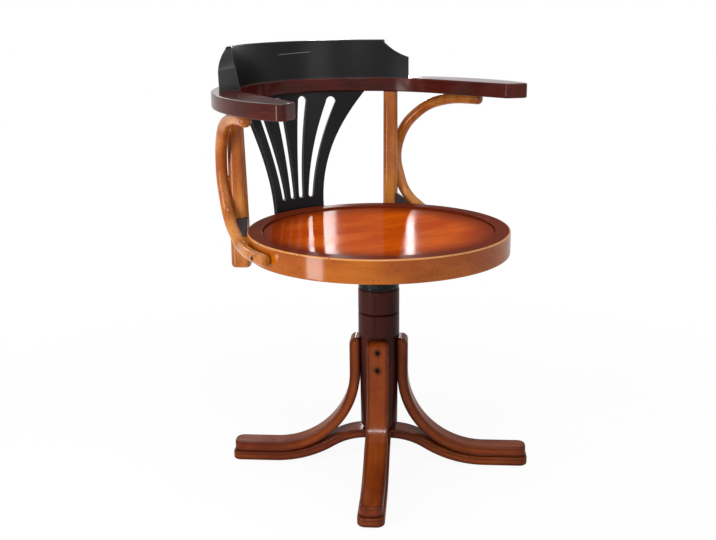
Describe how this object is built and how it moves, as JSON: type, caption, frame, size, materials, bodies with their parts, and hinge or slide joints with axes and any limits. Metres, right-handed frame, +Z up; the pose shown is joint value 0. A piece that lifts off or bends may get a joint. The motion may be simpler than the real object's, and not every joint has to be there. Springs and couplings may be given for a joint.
{
  "type": "swivel armchair",
  "caption": "Swivel captain's armchair: bentwood ring seat on a turned column with bent strip feet, a bent arm hoop with a crest, a fan splat and curved braces.",
  "frame": {"origin": "on the floor, on the swivel's vertical axis", "axes": "+Z up; the sitter looks along -Y; the sitter's left hand is at +X"},
  "size_m": [0.606, 0.572, 0.8035],
  "materials": {
    "foot_wood": "stained bentwood with a worn clear lacquer",
    "column_wood": "dark stained turned wood, lacquered",
    "honey_wood": "honey stained bentwood, glossy lacquer",
    "panel_wood": "orange-brown veneer, glossy lacquer",
    "dark_wood": "mahogany stained wood, glossy lacquer",
    "black_wood": "black painted wood, satin",
    "raw_wood": "bare beech",
    "black_steel": "black enamelled steel",
    "bronze": "turned bronze",
    "screw_steel": "darkened steel"
  },
  "bodies": {
    "base": {"lower_strip_1": "foot_wood", "lower_strip_2": "foot_wood", "upper_leg_1": "foot_wood", "upper_leg_2": "foot_wood", "upper_leg_3": "foot_wood", "upper_leg_4": "foot_wood", "leg_screws": "screw_steel", "foot_screws": "screw_steel", "base_bolt": "screw_steel", "column": "column_wood", "set_screw": "screw_steel", "collar": "black_steel", "spindle_socket": "screw_steel", "spindle": "screw_steel", "thrust_washer": "bronze", "spindle_washer": "screw_steel", "spindle_nut": "screw_steel"},
    "seat": {"hub_bush": "bronze", "hub": "black_steel", "hub_cover": "black_steel", "hub_bolts": "screw_steel", "seat_plate": "black_steel", "plate_screws": "screw_steel", "bearer_left": "raw_wood", "bearer_right": "raw_wood", "bearer_screws": "screw_steel", "seat_ring": "honey_wood", "seat_panel": "panel_wood", "post_left": "honey_wood", "post_right": "honey_wood", "post_bolts": "screw_steel", "brace_left": "honey_wood", "brace_right": "honey_wood", "brace_block_left": "dark_wood", "brace_block_right": "dark_wood", "brace_screws": "screw_steel", "ring_plugs": "honey_wood", "splat": "black_wood", "splat_spacer": "black_wood", "splat_screws": "screw_steel", "arm_rail": "dark_wood", "crest": "black_wood", "crest_dowels": "raw_wood"}
  },
  "joints": [
    {"name": "swivel", "type": "hinge", "parent": "base", "child": "seat", "pos_m": [0, 0, 0.372], "axis": [0, 0, 1], "continuous": true}
  ]
}
